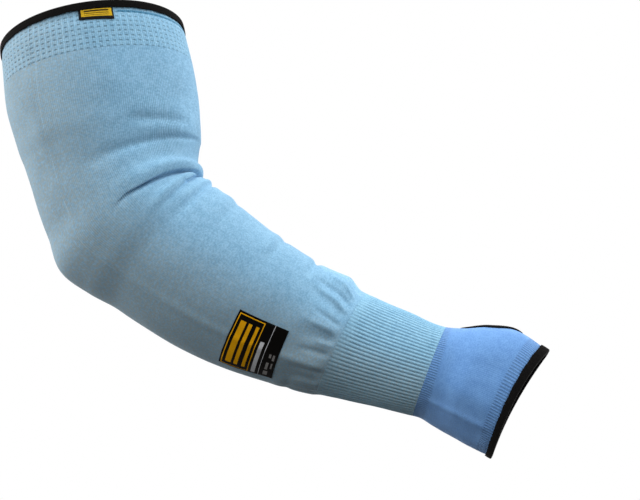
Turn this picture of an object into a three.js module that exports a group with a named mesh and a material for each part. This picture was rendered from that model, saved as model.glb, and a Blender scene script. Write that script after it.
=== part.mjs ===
// Knit arm sleeve with a ribbed wrist and a thumb hole, in the form that it takes on a bent arm.
// Millimetres, +Z up. The bent arm's centreline lies in the XZ plane: the origin is the centre of
// the upper opening, the hand opening is towards +X, and -Y is the side with the patch.
// A place on the fabric is a station, measured along the centreline from the upper opening, and an
// angle round it in degrees: 0 at the inner elbow, 90 at -Y, 180 at the elbow's tip.
import * as THREE from 'three';

// Lengths along the centreline
const upperLength = 90;
const elbowLength = 84;
const forearmLength = 213;
const wristStrip = 12;
const thumbHoleLength = 37;
const rimStrip = 19;
const weltLength = 29.5;
const ribLength = 66;

// Bends of the centreline, in degrees
const upperLean = 8.5;
const elbowBend = 45.5;
const forearmBow = 20.5;
const wristLift = 13;

// Girths: width in the plane of the bend, depth across it
const upperWidth = 140;
const upperDepth = 124;
const elbowWidth = 126;
const elbowDepth = 112;
const forearmWidth = 110;
const forearmDepth = 98;
const wristWidth = 70;
const wristDepth = 50;
const handWidth = 92;
const handDepth = 44;

// How far the upper opening and the rib edges slant from square to the centreline, and how far the
// hand opening's two sides draw back from its ends
const rimRise = 7.2;
const handDip = 4;
const ribSkew = 3;

// Walls, ribs and clearance
const jerseyWall = 1.2;
const weltWall = 1.5;
const ribWall = 1.6;
const ribRelief = 0.9;
const ribCount = 76;
const fitGap = 0.3;

// Bindings: how far each covers the fabric, and the thickness of its band
const topCover = 4;
const handCover = 4.6;
const thumbCover = 3.4;
const bindingBand = 0.9;
const bindingGap = 0.4;
const bandTaper = 0.7;

// Thumb hole, woven label and patch, round the arm
const thumbHoleWidth = 42;
const thumbHoleAngle = -33;
const labelLength = 7.6;
const labelWidth = 25;
const labelAngle = 84.5;
const labelThickness = 0.6;
const patchLength = 36.5;
const patchWidth = 48;
const patchAngle = 138;
const patchToRib = 34;
const patchThickness = 0.8;
const patchGap = 0.45;

// Pressed edges of the flat-stored tube
const pressAngle = 134;
const pressRise = 0.9;

// Facets
const columns = 36;
const armRings = 37;
const ribRings = 5;
const innerShare = 4;
const holeColumns = 8;
const holeRows = 6;
const stripRows = 3;

// How much the arm's rings crowd together at the creases and gathers, how far from a crease in
// its reaches, and the share of the elbow over which the rings follow the main crease's bow
const creaseCrowding = 3.1;
const gatherCrowding = 0.7;
const crowdReach = 1.4;
const bowReach = 0.36;

// Fineness of the measuring walks: degrees a step, and marks round or along
const walkStep = 0.5;
const roundMarks = 720;
const alongMarks = 400;

// Segments of the centreline, in order
const segments = [
  { name: 'upper', length: upperLength, turn: 0 },
  { name: 'elbow', length: elbowLength, turn: -elbowBend },
  { name: 'forearm', length: forearmLength, turn: -forearmBow },
  { name: 'hand', length: wristStrip + thumbHoleLength + rimStrip, turn: wristLift },
];

const girths = {
  upper: { width: upperWidth, depth: upperDepth },
  elbow: { width: elbowWidth, depth: elbowDepth },
  forearm: { width: forearmWidth, depth: forearmDepth },
  wrist: { width: wristWidth, depth: wristDepth },
  hand: { width: handWidth, depth: handDepth },
};

// Sections: along is a share of the segment's length, inner and outer are the half widths towards
// and away from the inner elbow as shares of the girth's width, deep is a share of half its depth
const sections = [
  { segment: 'upper', along: 0.00, girth: 'upper', inner: 0.475, outer: 0.482, deep: 0.96 },
  { segment: 'upper', along: 0.12, girth: 'upper', inner: 0.487, outer: 0.490, deep: 0.99 },
  { segment: 'upper', along: 0.50, girth: 'upper', inner: 0.507, outer: 0.495, deep: 1.00 },
  { segment: 'upper', along: 0.85, girth: 'upper', inner: 0.498, outer: 0.467, deep: 0.98 },
  { segment: 'elbow', along: 0.18, girth: 'elbow', inner: 0.524, outer: 0.475, deep: 1.00 },
  { segment: 'elbow', along: 0.42, girth: 'elbow', inner: 0.490, outer: 0.485, deep: 1.00 },
  { segment: 'elbow', along: 0.62, girth: 'elbow', inner: 0.462, outer: 0.527, deep: 1.00 },
  { segment: 'elbow', along: 0.80, girth: 'elbow', inner: 0.448, outer: 0.490, deep: 0.98 },
  { segment: 'forearm', along: 0.00, girth: 'forearm', inner: 0.520, outer: 0.515, deep: 1.03 },
  { segment: 'forearm', along: 0.18, girth: 'forearm', inner: 0.495, outer: 0.510, deep: 1.00 },
  { segment: 'forearm', along: 0.38, girth: 'forearm', inner: 0.445, outer: 0.480, deep: 0.93 },
  { segment: 'forearm', along: 0.52, girth: 'forearm', inner: 0.415, outer: 0.430, deep: 0.86 },
  { segment: 'forearm', along: 0.62, girth: 'forearm', inner: 0.436, outer: 0.395, deep: 0.80 },
  { segment: 'forearm', along: 0.69, girth: 'wrist', inner: 0.565, outer: 0.580, deep: 1.36 },
  { segment: 'forearm', along: 0.76, girth: 'wrist', inner: 0.550, outer: 0.545, deep: 1.22 },
  { segment: 'forearm', along: 0.88, girth: 'wrist', inner: 0.525, outer: 0.508, deep: 1.10 },
  { segment: 'hand', along: 0.00, girth: 'wrist', inner: 0.490, outer: 0.490, deep: 1.00 },
  { segment: 'hand', along: 0.20, girth: 'hand', inner: 0.405, outer: 0.405, deep: 1.05 },
  { segment: 'hand', along: 0.42, girth: 'hand', inner: 0.480, outer: 0.435, deep: 1.15 },
  { segment: 'hand', along: 0.70, girth: 'hand', inner: 0.535, outer: 0.455, deep: 1.10 },
  { segment: 'hand', along: 1.00, girth: 'hand', inner: 0.500, outer: 0.455, deep: 0.92 },
];

// Creases that run round the arm, between two angles: along, drift and bow are shares of the
// segment's length, crest, tuck and reach shares of its girth's width. The tuck lies on the row's
// line, which drifts from its first to its last angle and bows by cos^4 of the angle, and the
// crest lies one reach above it; a row without drift or bow has none
const creases = [
  { on: 'elbow', along: 0.587, bow: 0.150, from: -106, to: 110, crest: 0.026, tuck: 0.042, reach: 0.072 },
  { on: 'elbow', along: 0.774, drift: 0.13, from: 6, to: 90, crest: 0.014, tuck: 0.022, reach: 0.050 },
  { on: 'elbow', along: 0.880, drift: -0.1, from: -84, to: -6, crest: 0.012, tuck: 0.018, reach: 0.052 },
  { on: 'elbow', along: 1.007, drift: 0.03, from: -42, to: 84, crest: 0.010, tuck: 0.015, reach: 0.054 },
  { on: 'elbow', along: 0.060, drift: 0.17, from: 4, to: 112, crest: 0.005, tuck: 0.010, reach: 0.090 },
  { on: 'upper', along: 0.920, from: 22, to: 80, crest: 0.004, tuck: 0.007, reach: 0.066 },
  { on: 'upper', along: 0.800, drift: 0.12, from: -124, to: -28, crest: 0.004, tuck: 0.008, reach: 0.070 },
  { on: 'forearm', along: 0.120, drift: 0.02, from: -46, to: 66, crest: 0.009, tuck: 0.006, reach: 0.072 },
  { on: 'forearm', along: 0.355, from: -30, to: 76, crest: 0.008, tuck: 0.007, reach: 0.064 },
  { on: 'forearm', along: 0.492, drift: 0.01, from: -76, to: 64, crest: 0.004, tuck: 0.020, reach: 0.064 },
  { on: 'forearm', along: 0.590, drift: -0.03, from: 150, to: 250, crest: 0.006, tuck: 0.010, reach: 0.060 },
];

// Gathers that run along the arm up to the ribs, and soft folds of the hand cuff: from and to are
// shares of the segment's length, rise is a share of its girth's width, lean turns the fold by so
// many degrees at its upper end, and spread is its half width in degrees
const gathers = [
  { on: 'forearm', from: 0.49, to: 0.69, angle: 20, lean: -6, rise: -0.010, spread: 9 },
  { on: 'forearm', from: 0.50, to: 0.69, angle: 40, lean: -8, rise: 0.012, spread: 9 },
  { on: 'forearm', from: 0.49, to: 0.69, angle: 76, lean: -16, rise: -0.015, spread: 10 },
  { on: 'forearm', from: 0.52, to: 0.69, angle: 102, lean: 5, rise: -0.013, spread: 9 },
  { on: 'forearm', from: 0.48, to: 0.69, angle: 132, lean: 2, rise: 0.013, spread: 9 },
  { on: 'forearm', from: 0.50, to: 0.69, angle: 152, lean: 3, rise: -0.010, spread: 9 },
  { on: 'forearm', from: 0.52, to: 0.69, angle: 196, lean: 4, rise: 0.010, spread: 11 },
  { on: 'forearm', from: 0.50, to: 0.69, angle: 228, lean: -5, rise: -0.012, spread: 11 },
  { on: 'forearm', from: 0.53, to: 0.69, angle: 262, lean: 6, rise: 0.011, spread: 11 },
  { on: 'forearm', from: 0.49, to: 0.69, angle: 300, lean: -8, rise: -0.013, spread: 11 },
  { on: 'hand', from: 0.05, to: 0.85, angle: 76, lean: 6, rise: -0.007, spread: 10 },
  { on: 'hand', from: 0.05, to: 0.85, angle: 112, lean: -6, rise: 0.008, spread: 10 },
  { on: 'hand', from: 0.05, to: 0.90, angle: 148, lean: 3, rise: -0.010, spread: 11 },
  { on: 'hand', from: 0.05, to: 0.85, angle: 236, lean: 5, rise: -0.009, spread: 12 },
];

// How a fold's strength comes and goes, and the widths of a crest and a tuck, as shares
const creaseFade = 0.3;
const gatherFadeIn = 0.6;
const gatherFadeOut = 0.2;
const crestSpread = 0.7;
const tuckSpread = 0.4;
const pressFade = 12;
const pressSpread = 5;

const radians = THREE.MathUtils.degToRad;
const smooth = (x) => THREE.MathUtils.smoothstep(x, 0, 1);
const bell = (x) => Math.exp(-x * x);
const wrap = THREE.MathUtils.euclideanModulo;
const turnedBy = (angle, period) => wrap(angle + period / 2, period) - period / 2;

// Stations
const startOf = {};
const lengthOf = {};
let sleeveLength = 0;
for (const { name, length } of segments) {
  startOf[name] = sleeveLength;
  lengthOf[name] = length;
  sleeveLength += length;
}
const stationOf = (segment, along) => startOf[segment] + along * lengthOf[segment];
const ribEnd = startOf.hand;
const ribStart = ribEnd - ribLength;
const bowed = (angle) => Math.max(0, Math.cos(radians(angle))) ** 4;
const ribEdge = (station, angle) => station + ribSkew * Math.cos(radians(angle));
const labelStart = topCover + fitGap;
const labelEnd = labelStart + labelLength;

// A smooth curve through a table's values that never overshoots them
function curveThrough(places, values) {
  const steps = places.slice(1).map((place, i) => (values[i + 1] - values[i]) / (place - places[i]));
  const slopes = places.map((_, i) => {
    if (i === 0) return steps[0];
    if (i === steps.length) return steps[i - 1];
    const [before, after] = [steps[i - 1], steps[i]];
    return before * after <= 0 ? 0 : (2 * before * after) / (before + after);
  });
  return (place) => {
    const x = THREE.MathUtils.clamp(place, places[0], places[places.length - 1]);
    let i = 0;
    while (i < places.length - 2 && x >= places[i + 1]) i += 1;
    const span = places[i + 1] - places[i];
    const t = (x - places[i]) / span;
    const first = values[i] * (1 + 2 * t) * (1 - t) ** 2 + slopes[i] * span * t * (1 - t) ** 2;
    const second = values[i + 1] * t * t * (3 - 2 * t) + slopes[i + 1] * span * t * t * (t - 1);
    return first + second;
  };
}

const sectionPlaces = sections.map((row) => stationOf(row.segment, row.along));
const sectionCurve = (measure) => curveThrough(sectionPlaces, sections.map(measure));
const innerHalf = sectionCurve((row) => row.inner * girths[row.girth].width);
const outerHalf = sectionCurve((row) => row.outer * girths[row.girth].width);
const halfDepth = sectionCurve((row) => (row.deep * girths[row.girth].depth) / 2);

// Centre and heading of the centreline; the heading is measured downwards from +X
function centreline(station) {
  let x = 0;
  let z = 0;
  let heading = radians(90 - upperLean);
  let start = 0;
  for (const [index, { length, turn }] of segments.entries()) {
    const last = index === segments.length - 1;
    const run = station < start + length || last ? station - start : length;
    if (turn === 0) {
      x += run * Math.cos(heading);
      z -= run * Math.sin(heading);
    } else {
      const radius = length / radians(turn);
      const next = heading + run / radius;
      x += radius * (Math.sin(next) - Math.sin(heading));
      z += radius * (Math.cos(next) - Math.cos(heading));
      heading = next;
    }
    start += length;
    if (station < start) break;
  }
  return { x, z, heading };
}

// Where an angle lies between a crease's two ends, and how strong the crease is there
function between(angle, from, to) {
  const share = 0.5 + turnedBy(angle - (from + to) / 2, 360) / (to - from);
  return { share, strength: smooth(share / creaseFade) * smooth((1 - share) / creaseFade) };
}

function creaseLift(station, angle) {
  let lift = 0;
  for (const row of creases) {
    const { share, strength } = between(angle, row.from, row.to);
    if (strength === 0) continue;
    const { drift = 0, bow = 0 } = row;
    const line = stationOf(row.on, row.along + drift * share + bow * bowed(angle));
    const { width } = girths[row.on];
    const off = (station - line) / (row.reach * width);
    const crest = row.crest * bell((off + 1) / crestSpread);
    lift += strength * width * (crest - row.tuck * bell(off / tuckSpread));
  }
  return lift;
}

function gatherLift(station, angle) {
  let lift = 0;
  for (const row of gathers) {
    const from = stationOf(row.on, row.from);
    const share = (station - from) / (stationOf(row.on, row.to) - from);
    if (share <= 0 || share >= 1) continue;
    const off = turnedBy(angle - row.angle - row.lean * (1 - share), 360);
    const strength = smooth(share / gatherFadeIn) * smooth((1 - share) / gatherFadeOut);
    lift += strength * row.rise * girths[row.on].width * bell(off / row.spread);
  }
  return lift;
}

// The two edges along which the tube was pressed flat
function pressLift(station, angle) {
  const onArm = smooth((station - weltLength) / pressFade) * smooth((ribStart - station) / pressFade);
  const handEnd = sleeveLength - handCover;
  const onHand = smooth((station - ribEnd) / pressFade) * smooth((handEnd - station) / pressFade);
  return pressRise * (onArm + onHand) * bell(turnedBy(angle - pressAngle, 180) / pressSpread);
}

// A point of the fabric's outer face, raised along its normal by lift
function fabric(station, angle, lift = 0) {
  const round = radians(angle);
  const cos = Math.cos(round);
  const sin = Math.sin(round);
  const topShift = rimRise * sin * (1 - smooth(station / (upperLength / 2)));
  const handShift = handDip * sin * sin * smooth((station - startOf.hand) / lengthOf.hand);
  const place = station - topShift - handShift;
  const { x, z, heading } = centreline(place);
  const half = cos > 0 ? innerHalf(place) : outerHalf(place);
  const deep = halfDepth(place);
  const long = Math.hypot(deep * cos, half * sin);
  const raised = lift + creaseLift(station, angle) + gatherLift(station, angle) + pressLift(station, angle);
  const across = half * cos + (raised * deep * cos) / long;
  const side = deep * sin + (raised * half * sin) / long;
  return new THREE.Vector3(x + across * Math.sin(heading), -side, z + across * Math.cos(heading));
}

// The angle reached by walking a distance round the arm from a start angle
function walkRound(station, start, distance) {
  const step = Math.sign(distance) * walkStep;
  let angle = start;
  let left = Math.abs(distance);
  let here = fabric(station, angle);
  for (;;) {
    const next = fabric(station, angle + step);
    const stride = next.distanceTo(here);
    if (stride >= left) return angle + (step * left) / stride;
    left -= stride;
    angle += step;
    here = next;
  }
}

// Angles evenly spaced round the arm by distance
function evenAngles(station, count) {
  const markAt = (i) => fabric(station, (i * 360) / roundMarks);
  const lengths = [0];
  for (let i = 1; i <= roundMarks; i += 1) {
    lengths.push(lengths[i - 1] + markAt(i).distanceTo(markAt(i - 1)));
  }
  const angles = [];
  let mark = 0;
  for (let i = 0; i < count; i += 1) {
    const target = (lengths[roundMarks] * i) / count;
    while (lengths[mark + 1] < target) mark += 1;
    const share = (target - lengths[mark]) / (lengths[mark + 1] - lengths[mark]);
    angles.push(((mark + share) * 360) / roundMarks);
  }
  return angles;
}

// A face of the fabric over stations and angles
const gridOf = (stations, angles, lift) => stations.map(
  (station) => angles.map((angle) => fabric(station, angle, lift)),
);

const range = (count) => Array.from({ length: count }, (_, i) => i);
const steps = (from, to, count) => range(count).map((i) => from + ((to - from) * i) / (count - 1));

// Values from 0 to 1 that crowd together where weight is large
function crowdedShares(count, weight) {
  const sums = [0];
  for (let i = 1; i <= alongMarks; i += 1) sums.push(sums[i - 1] + weight((i - 0.5) / alongMarks));
  let mark = 0;
  return range(count).map((i) => {
    const target = (sums[alongMarks] * i) / (count - 1);
    while (mark < alongMarks - 1 && sums[mark + 1] < target) mark += 1;
    return (mark + (target - sums[mark]) / (sums[mark + 1] - sums[mark])) / alongMarks;
  });
}

// Solids
const sleeve = new THREE.Group();

function addSolid(name, points, triangles, material) {
  let volume = 0;
  for (const [a, b, c] of triangles) {
    volume += points[a].dot(new THREE.Vector3().crossVectors(points[b], points[c]));
  }
  const facing = volume < 0 ? triangles.map(([a, b, c]) => [a, c, b]) : triangles;
  const geometry = new THREE.BufferGeometry().setFromPoints(points);
  geometry.setIndex(facing.flat());
  geometry.computeVertexNormals();
  const mesh = new THREE.Mesh(geometry, material);
  mesh.name = name;
  sleeve.add(mesh);
}

// Two triangles for a cell, split along its shorter diagonal
function splitCell(points, a, b, c, d) {
  if (points[a].distanceToSquared(points[c]) < points[b].distanceToSquared(points[d])) {
    return [[a, b, c], [a, c, d]];
  }
  return [[a, b, d], [b, c, d]];
}

// A wall between an outer and an inner grid of points, closed wherever a cell has no neighbour
function addWall(name, outer, inner, material, { ring = true, open = () => false } = {}) {
  const rows = outer.length;
  const across = outer[0].length;
  const points = [...outer.flat(), ...inner.flat()];
  const backing = rows * across;
  const cells = ring ? across : across - 1;
  const isCell = (i, j) => i >= 0 && i < rows - 1 && (ring || (j >= 0 && j < cells))
    && !open(i, (j + cells) % cells);
  const at = (i, j) => i * across + (j % across);
  const triangles = [];
  for (let i = 0; i < rows - 1; i += 1) {
    for (let j = 0; j < cells; j += 1) {
      if (!isCell(i, j)) continue;
      const corners = [at(i, j), at(i, j + 1), at(i + 1, j + 1), at(i + 1, j)];
      triangles.push(...splitCell(points, ...corners));
      const [a, b, c, d] = corners.map((corner) => corner + backing);
      triangles.push(...splitCell(points, a, d, c, b));
      const neighbours = [[i - 1, j], [i, j + 1], [i + 1, j], [i, j - 1]];
      neighbours.forEach((neighbour, side) => {
        if (isCell(...neighbour)) return;
        const p = corners[side];
        const q = corners[(side + 1) % 4];
        triangles.push([q, p, p + backing], [q, p + backing, q + backing]);
      });
    }
  }
  const used = new Map();
  const kept = [];
  const renumbered = triangles.map((triangle) => triangle.map((index) => {
    if (!used.has(index)) {
      used.set(index, kept.length);
      kept.push(points[index]);
    }
    return used.get(index);
  }));
  addSolid(name, kept, renumbered, material);
}

// A band folded over a fabric edge: a U section carried round a closed edge, where beyond is the
// distance past the edge and the lift is measured from the fabric's outer face
function addBinding(name, count, wall, cover, place, material) {
  const top = bindingGap;
  const bottom = -wall - bindingGap;
  const band = bindingBand;
  const profile = [
    { beyond: -cover, lift: top },
    { beyond: bindingGap, lift: top },
    { beyond: bindingGap, lift: bottom },
    { beyond: -cover, lift: bottom },
    { beyond: -cover, lift: bottom - band * bandTaper },
    { beyond: bindingGap, lift: bottom - band },
    { beyond: bindingGap + band, lift: bottom },
    { beyond: bindingGap + band, lift: top },
    { beyond: bindingGap, lift: top + band },
    { beyond: -cover, lift: top + band * bandTaper },
  ];
  const section = (step) => profile.map(({ beyond, lift }) => place(step, beyond, lift));
  const points = range(count).flatMap(section);
  const triangles = [];
  for (let step = 0; step < count; step += 1) {
    const here = step * profile.length;
    const next = ((step + 1) % count) * profile.length;
    for (let k = 0; k < profile.length; k += 1) {
      const l = (k + 1) % profile.length;
      triangles.push(...splitCell(points, here + k, here + l, next + l, next + k));
    }
  }
  addSolid(name, points, triangles, material);
}

// Materials
const finish = (color, roughness) => new THREE.MeshStandardMaterial({ color, roughness, metalness: 0 });
const jerseyBlue = finish(0x7f9fb5, 0.9);
const weltBlue = finish(0x8fb5cf, 0.9);
const ribBlue = finish(0x7aa3bf, 0.9);
const cuffBlue = finish(0x6593cf, 0.85);
const bindingBlack = finish(0x141416, 0.8);
const labelBlack = finish(0x1b1a18, 0.75);

// Upper band of open knit, under the top binding
const columnAngles = range(columns).map((j) => pressAngle + (j * 360) / columns);

function buildWelt() {
  const stations = [0, topCover, labelEnd, weltLength - fitGap / 2];
  const face = (lift) => gridOf(stations, columnAngles, lift);
  addWall('eyelet_welt', face(0), face(-weltWall), weltBlue);
  const place = (step, beyond, lift) => fabric(-beyond, columnAngles[step], lift);
  addBinding('top_binding', columns, weltWall, topCover, place, bindingBlack);
}

// Plain knit from the open knit to the ribs, with the elbow's creases and the gathers
function buildArm() {
  const from = weltLength + fitGap / 2;
  const to = ribStart - fitGap / 2;
  const main = creases[0];
  const mainLine = stationOf(main.on, main.along);
  const gatherStart = stationOf(gathers[0].on, gathers[0].from);
  const elbowReach = lengthOf[main.on] * bowReach;
  const weight = (share) => {
    const station = from + (to - from) * share;
    const near = creases.map((row) => {
      const line = stationOf(row.on, row.along + (row.drift ?? 0) / 2);
      const off = (station - line) / (crowdReach * row.reach * girths[row.on].width);
      return (row.tuck / main.tuck) * bell(off);
    });
    const gathered = smooth((station - gatherStart) / weltLength);
    return 1 + creaseCrowding * Math.max(...near) + gatherCrowding * gathered;
  };
  const shares = crowdedShares(armRings, weight);
  const grid = (lift) => shares.map((share) => columnAngles.map((angle) => {
    const square = from + share * (ribEdge(to, angle) - from);
    const bow = main.bow * lengthOf[main.on] * bowed(angle) * bell((square - mainLine) / elbowReach);
    return fabric(square + bow, angle, lift);
  }));
  addWall('arm_tube', grid(0), grid(-jerseyWall), jerseyBlue);
}

// Ribbed wrist: raised and sunk lines outside, a plain face inside
function buildRibs() {
  const from = ribStart + fitGap / 2;
  const to = ribEnd - fitGap / 2;
  const round = ribCount * 2;
  const angles = evenAngles((from + to) / 2, round);
  const outerRing = (share) => angles.map((angle, j) => {
    const station = ribEdge(from + (to - from) * share, angle);
    return fabric(station, angle, j % 2 === 0 ? ribRelief / 2 : -ribRelief / 2);
  });
  const innerAngles = angles.filter((_, j) => j % innerShare === 0);
  const innerRing = (share) => innerAngles.map((angle) => {
    const station = ribEdge(from + (to - from) * share, angle);
    return fabric(station, angle, ribRelief / 2 - ribWall);
  });
  const shares = steps(0, 1, ribRings);
  const points = [...shares.flatMap(outerRing), ...shares.flatMap(innerRing)];
  const backing = round * ribRings;
  const outerAt = (i, j) => i * round + (j % round);
  const innerAt = (i, k) => backing + i * innerAngles.length + (k % innerAngles.length);
  const triangles = [];
  for (let i = 0; i < ribRings - 1; i += 1) {
    for (let j = 0; j < round; j += 1) {
      triangles.push([outerAt(i, j), outerAt(i, j + 1), outerAt(i + 1, j + 1)]);
      triangles.push([outerAt(i, j), outerAt(i + 1, j + 1), outerAt(i + 1, j)]);
    }
    for (let k = 0; k < innerAngles.length; k += 1) {
      triangles.push([innerAt(i, k), innerAt(i + 1, k), innerAt(i + 1, k + 1)]);
      triangles.push([innerAt(i, k), innerAt(i + 1, k + 1), innerAt(i, k + 1)]);
    }
  }
  for (let k = 0; k < innerAngles.length; k += 1) {
    const first = innerShare * k;
    for (const [i, flip] of [[0, false], [ribRings - 1, true]]) {
      const hub = innerAt(i, k);
      const fan = range(innerShare).map((m) => [outerAt(i, first + m + 1), outerAt(i, first + m), hub]);
      fan.push([innerAt(i, k + 1), outerAt(i, first + innerShare), hub]);
      triangles.push(...(flip ? fan.map(([a, b, c]) => [a, c, b]) : fan));
    }
  }
  addSolid('rib_cuff', points, triangles, ribBlue);
}

// Smooth hand cuff with the thumb hole, and the bindings of its hole and its edge
function buildHand() {
  const from = ribEnd + fitGap / 2;
  const holeFrom = startOf.hand + wristStrip;
  const holeTo = holeFrom + thumbHoleLength;
  const middle = (holeFrom + holeTo) / 2;
  const low = walkRound(middle, thumbHoleAngle, -thumbHoleWidth / 2);
  const high = walkRound(middle, thumbHoleAngle, thumbHoleWidth / 2);
  const centre = (low + high) / 2;
  const halfLength = thumbHoleLength / 2;
  const halfSpan = (high - low) / 2;

  const spanWidth = thumbHoleWidth / 2;
  const coverSpan = (halfSpan * thumbCover) / spanWidth;

  const holeSide = steps(low, high, holeColumns + 1);
  const plainSide = steps(high + coverSpan, low + 360 - coverSpan, columns - holeColumns - 1);
  const angles = [...holeSide, ...plainSide];
  const beforeHole = steps(ribEnd, holeFrom - thumbCover, stripRows);
  const alongHole = steps(holeFrom, holeTo, holeRows + 1);
  const afterHole = steps(holeTo + thumbCover, sleeveLength - handCover, stripRows);
  const stations = [...beforeHole, ...alongHole, ...afterHole, sleeveLength];

  // Grid lines bend round the hole so that its square outline becomes an ellipse
  function rounded(station, angle) {
    const along = (station - middle) / halfLength;
    const round = (angle - centre) / halfSpan;
    const square = Math.max(Math.abs(along), Math.abs(round));
    if (square === 0) return [station, angle];
    const strip = along < 0 ? wristStrip : rimStrip - handCover;
    const pastEnd = Math.abs(station - middle) - halfLength - thumbCover;
    const pastSide = Math.abs(angle - centre) - halfSpan - coverSpan;
    const pull = (1 - smooth(pastEnd / (strip - thumbCover))) * (1 - smooth(pastSide / halfSpan));
    const scale = 1 - pull * (1 - square / Math.hypot(along, round));
    return [middle + along * halfLength * scale, centre + round * halfSpan * scale];
  }

  const point = (row, angle, lift) => {
    const [station, turned] = rounded(row, angle > centre + 180 ? angle - 360 : angle);
    const skewed = ribEdge(from, turned) - ribEnd;
    return fabric(station + skewed * (1 - smooth((station - ribEnd) / wristStrip)), turned, lift);
  };
  const grid = (lift) => stations.map((row) => angles.map((angle) => point(row, angle, lift)));
  const firstHoleRow = beforeHole.length;
  const open = (i, j) => i >= firstHoleRow && i < firstHoleRow + holeRows && j < holeColumns;
  addWall('hand_cuff', grid(0), grid(-jerseyWall), cuffBlue, { open });

  const rimPlace = (step, beyond, lift) => fabric(sleeveLength + beyond, angles[step], lift);
  addBinding('hand_binding', columns, jerseyWall, handCover, rimPlace, bindingBlack);

  const outline = [
    ...holeSide.slice(0, -1).map((angle) => [holeFrom, angle]),
    ...alongHole.slice(0, -1).map((station) => [station, high]),
    ...holeSide.slice(1).reverse().map((angle) => [holeTo, angle]),
    ...alongHole.slice(1).reverse().map((station) => [station, low]),
  ];
  const holePlace = (step, beyond, lift) => {
    const [station, angle] = rounded(...outline[step]);
    const along = (station - middle) * (1 - beyond / halfLength);
    const round = (angle - centre) * (1 - beyond / spanWidth);
    return fabric(middle + along, centre + round, lift);
  };
  addBinding('thumb_binding', outline.length, jerseyWall, thumbCover, holePlace, bindingBlack);
}

// Woven label below the top binding, and the printed patch on the forearm
function buildLabels() {
  const plate = (name, stations, angles, base, thickness) => {
    const face = (lift) => gridOf(stations, angles, lift);
    addWall(name, face(base + thickness), face(base), labelBlack, { ring: false });
  };
  const labelAngles = steps(
    walkRound(labelStart, labelAngle, -labelWidth / 2),
    walkRound(labelStart, labelAngle, labelWidth / 2),
    6,
  );
  plate('edge_label', [labelStart, labelEnd], labelAngles, fitGap, labelThickness);

  const patchEnd = ribStart - patchToRib;
  const patchMiddle = patchEnd - patchLength / 2;
  const first = walkRound(patchMiddle, patchAngle, -patchWidth / 2);
  const last = walkRound(patchMiddle, patchAngle, patchWidth / 2);
  const patchAngles = [...steps(first, pressAngle, 4), ...steps(pressAngle, last, 5).slice(1)];
  plate('forearm_patch', steps(patchEnd - patchLength, patchEnd, 5), patchAngles, patchGap, patchThickness);
}

buildWelt();
buildArm();
buildRibs();
buildHand();
buildLabels();

export default sleeve;
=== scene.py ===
# Looks of the knit arm sleeve: every CAD node is replaced by a finer closed piece of the same form,
# with ribs, thread wraps and small folds as geometry and the knit, with its pits, as procedural materials.
# The fabric is worked out in millimetres, in the CAD frame, and the meshes are written in metres.
# A place on the fabric is a station, measured along the arm's centreline from the upper opening,
# and an angle round it in degrees: 0 at the inner elbow, 90 at -Y, 180 at the elbow's tip.
import math

import bpy
import numpy as np
from mathutils import Matrix, Vector


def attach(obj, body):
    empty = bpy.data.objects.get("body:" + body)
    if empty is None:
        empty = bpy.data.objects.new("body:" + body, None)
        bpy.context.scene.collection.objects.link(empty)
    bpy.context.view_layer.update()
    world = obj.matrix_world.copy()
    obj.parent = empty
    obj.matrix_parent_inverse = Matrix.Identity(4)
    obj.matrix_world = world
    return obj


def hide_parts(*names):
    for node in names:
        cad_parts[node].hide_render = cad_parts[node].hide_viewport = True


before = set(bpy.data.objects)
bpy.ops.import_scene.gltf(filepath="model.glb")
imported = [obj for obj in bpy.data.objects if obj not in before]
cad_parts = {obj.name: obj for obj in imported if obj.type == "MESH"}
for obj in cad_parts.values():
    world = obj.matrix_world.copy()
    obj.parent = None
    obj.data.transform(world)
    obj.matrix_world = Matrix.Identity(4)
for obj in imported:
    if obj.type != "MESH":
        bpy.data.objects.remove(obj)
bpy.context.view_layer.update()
scene = bpy.context.scene

METRES = 0.001
BODY = "root"

# Lengths along the centreline, and the upper arm's lean in degrees
UPPER_LENGTH = 90.0
WRIST_STRIP = 12.0
THUMB_HOLE_LENGTH = 37.0
RIM_STRIP = 19.0
WELT_LENGTH = 29.5
RIB_LENGTH = 66.0
UPPER_LEAN = 8.5

# How far the upper opening and the rib edges slant from square to the centreline, and how far the
# hand opening's two sides draw back from its ends
RIM_RISE = 7.2
HAND_DIP = 4.0
RIB_SKEW = 3.0

# Walls and ribs
JERSEY_WALL = 1.2
WELT_WALL = 1.5
RIB_WALL = 1.6
RIB_RELIEF = 0.45
RIB_COUNT = 76
RIB_RAGGED = 0.03
JOIN_GAP = 0.05

# Bindings: how much fabric each covers, and how thick its band is and how far from the fabric
TOP_COVER = 4.0
HAND_COVER = 4.1
THUMB_COVER = 3.4
EDGE_BAND = (0.9, 0.4)
THUMB_BAND = (0.95, 0.45)
BAND_TAPER = 0.7

# Thumb hole, woven label, patch, pressed edges and seam
THUMB_HOLE_WIDTH = 42.0
THUMB_HOLE_ANGLE = -33.0
LABEL_START = TOP_COVER + 0.3
LABEL_LENGTH = 7.6
LABEL_WIDTH = 25.0
LABEL_ANGLE = 84.5
LABEL_TILT = 1.6
PATCH_LENGTH = 36.5
PATCH_WIDTH = 48.0
PATCH_ANGLE = 138.0
PATCH_TO_RIB = 34.0
PRESS_ANGLE = 134.0
PRESS_RISE = 0.9
SEAM_ANGLE = 270.0

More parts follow.
